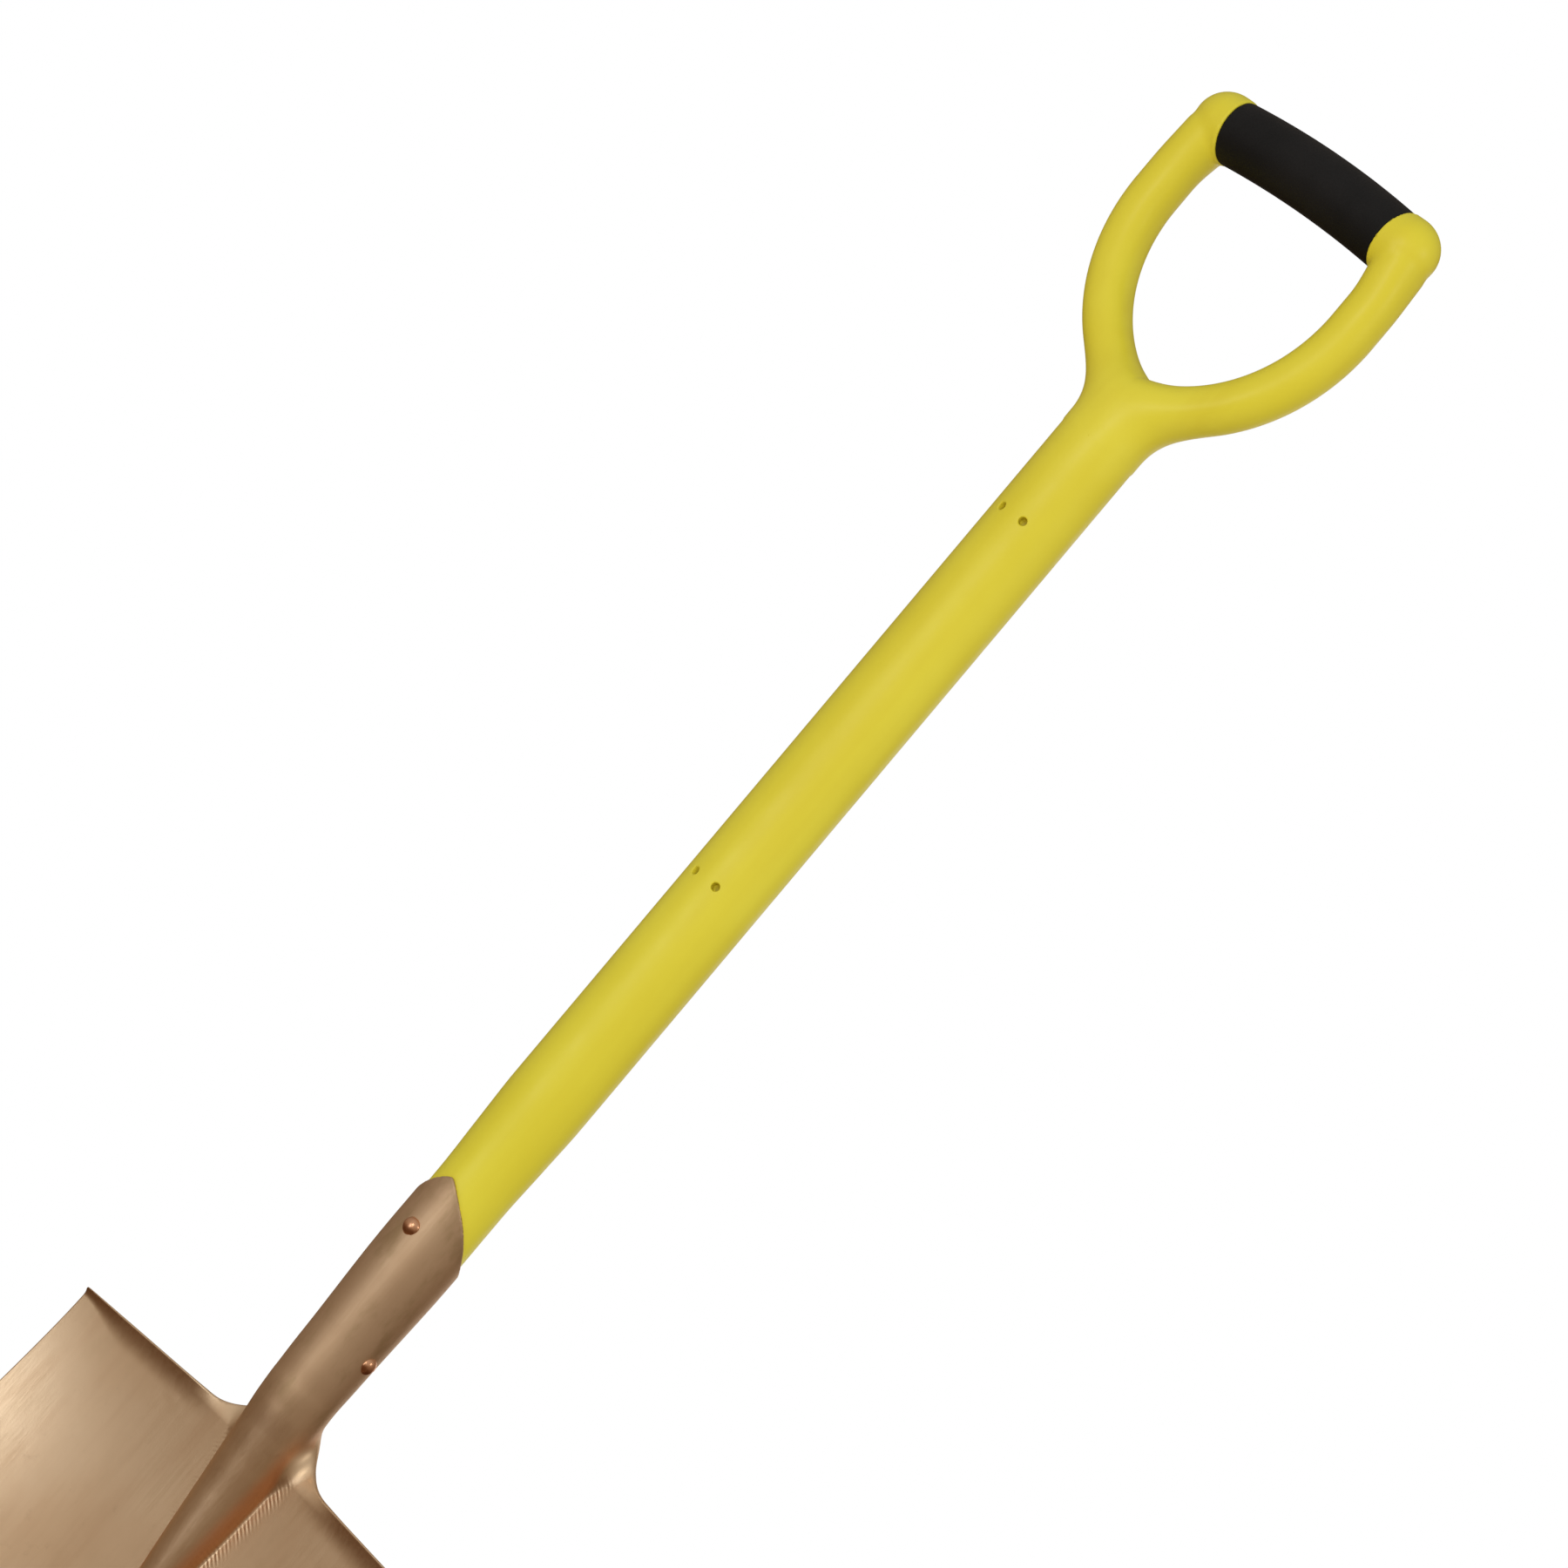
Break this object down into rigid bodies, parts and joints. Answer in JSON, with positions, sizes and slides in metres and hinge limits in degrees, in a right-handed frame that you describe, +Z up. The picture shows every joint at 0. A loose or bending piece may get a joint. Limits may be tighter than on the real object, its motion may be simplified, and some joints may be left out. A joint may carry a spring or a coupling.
{
  "type": "garden spade",
  "caption": "Garden spade with a dished bronze blade riveted to a round moulded shaft and a D handle with a soft grip sleeve.",
  "frame": {"origin": "centre of the bounding box at the cutting edge, which stands on the floor", "axes": "+Z up the shaft from cutting edge to D handle; the working face of the blade looks along -Y; +X runs across the blade, to the right for someone facing its working face"},
  "size_m": [0.2514, 0.0435, 1.0075],
  "materials": {
    "bronze": "satin, faintly brushed along its length",
    "rivet": "polished by setting",
    "moulding": "satin yellow moulding",
    "grip": "matt black, finely textured",
    "core": "pultruded glass-fibre rod, hidden"
  },
  "bodies": {
    "root": {"blade": "bronze", "shaft_core": "core", "handle_moulding": "moulding", "grip_sleeve": "grip", "upper_rivet": "rivet", "lower_rivet": "rivet"}
  },
  "joints": []
}
